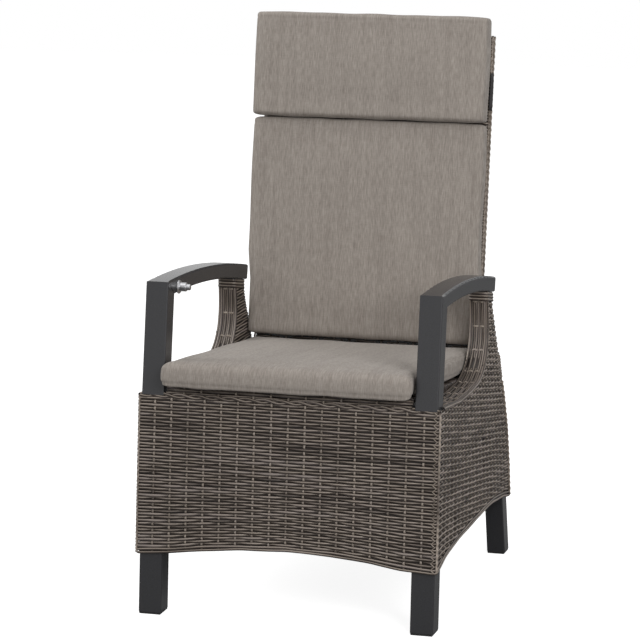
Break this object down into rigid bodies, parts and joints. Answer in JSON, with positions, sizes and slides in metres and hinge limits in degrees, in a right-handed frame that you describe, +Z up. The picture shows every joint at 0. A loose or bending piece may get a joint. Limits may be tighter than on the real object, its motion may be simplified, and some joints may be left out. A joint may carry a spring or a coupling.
{
  "type": "dining armchair",
  "caption": "Reclining high-back garden dining armchair: woven base and sides, arched flat metal armrests, thick loose cushions and a hinged backrest.",
  "frame": {"origin": "on the floor, at the middle of the chair's width and depth", "axes": "+Z up, +X to the sitter's left, -Y is the front of the chair"},
  "size_m": [0.606, 0.7249, 1.1165],
  "materials": {
    "frame": "fine satin powder coat",
    "wicker": "flat synthetic strands, plain weave",
    "cushion": "fine woven outdoor cloth",
    "strap": "elastic webbing",
    "steel": "zinc plated",
    "rod_chrome": "ground and chromed",
    "cylinder": "black gloss paint",
    "dark_plastic": "moulded",
    "button": "turned and polished"
  },
  "bodies": {
    "base": {"left_front_leg": "frame", "right_front_leg": "frame", "left_rear_leg": "frame", "right_rear_leg": "frame", "foot_glides": "dark_plastic", "left_arm_post": "frame", "right_arm_post": "frame", "left_armrest": "frame", "right_armrest": "frame", "arm_plates": "frame", "left_stanchion": "frame", "right_stanchion": "frame", "left_side_rail": "frame", "right_side_rail": "frame", "front_rail": "frame", "seat_rear_rail": "frame", "seat_bearers": "frame", "front_stretcher": "frame", "rear_stretcher": "frame", "front_hoop": "frame", "left_side_hoop": "frame", "right_side_hoop": "frame", "rear_hoop": "frame", "front_skirt_weave": "wicker", "left_side_weave": "wicker", "right_side_weave": "wicker", "rear_skirt_weave": "wicker", "seat_deck": "wicker", "seat_cushion": "cushion", "hinge_brackets": "frame", "pivot_bolts": "steel", "pivot_washers": "steel", "spring_clevis": "frame", "clevis_pin": "steel", "cable_stop": "steel", "button_housing": "button", "button_spring": "steel"},
    "backrest": {"left_back_stile": "frame", "right_back_stile": "frame", "top_back_rail": "frame", "middle_back_rails": "frame", "lower_back_rail": "frame", "lever_bracket": "frame", "pivot_bushes": "dark_plastic", "back_weave": "wicker", "back_cushion": "cushion", "head_cushion": "cushion", "cushion_strap": "strap"},
    "gas_rod_body": {"release_head": "steel", "gas_rod": "rod_chrome", "release_pivot": "steel"},
    "gas_cylinder_body": {"gas_cylinder": "cylinder", "gas_spring_gland": "dark_plastic", "extension_link": "steel", "lever_pin": "steel"},
    "button_body": {"release_button": "button"},
    "release_lever_body": {"release_lever": "steel"}
  },
  "joints": [
    {"name": "recline", "type": "hinge", "parent": "base", "child": "backrest", "pos_m": [0, 0.23535, 0.402], "axis": [-1, 0, 0], "range_deg": [0, 35]},
    {"name": "gas_spring_tilt", "type": "hinge", "parent": "base", "child": "gas_rod_body", "pos_m": [0, -0.27465, 0.322], "axis": [1, 0, 0], "range_deg": [0, 1.8]},
    {"name": "gas_spring_stroke", "type": "slide", "parent": "gas_rod_body", "child": "gas_cylinder_body", "axis": [0, 1, 0], "range_m": [-0.047, 0]},
    {"name": "release_press", "type": "slide", "parent": "base", "child": "button_body", "axis": [-1, 0, 0], "range_m": [0, 0.005], "stiffness_N_per_m": 800, "springref_m": -0.003},
    {"name": "release_lever_turn", "type": "hinge", "parent": "gas_rod_body", "child": "release_lever_body", "pos_m": [0.005, -0.25265, 0.341], "axis": [-1, 0, 0], "range_deg": [0, 12.1]}
  ],
  "couplings": [
    {"joint": "gas_spring_tilt", "follows": "recline", "ratio": 0.04816},
    {"joint": "gas_spring_stroke", "follows": "recline", "m_per_rad": -0.0752},
    {"joint": "release_lever_turn", "follows": "release_press", "rad_per_m": 41.9}
  ]
}
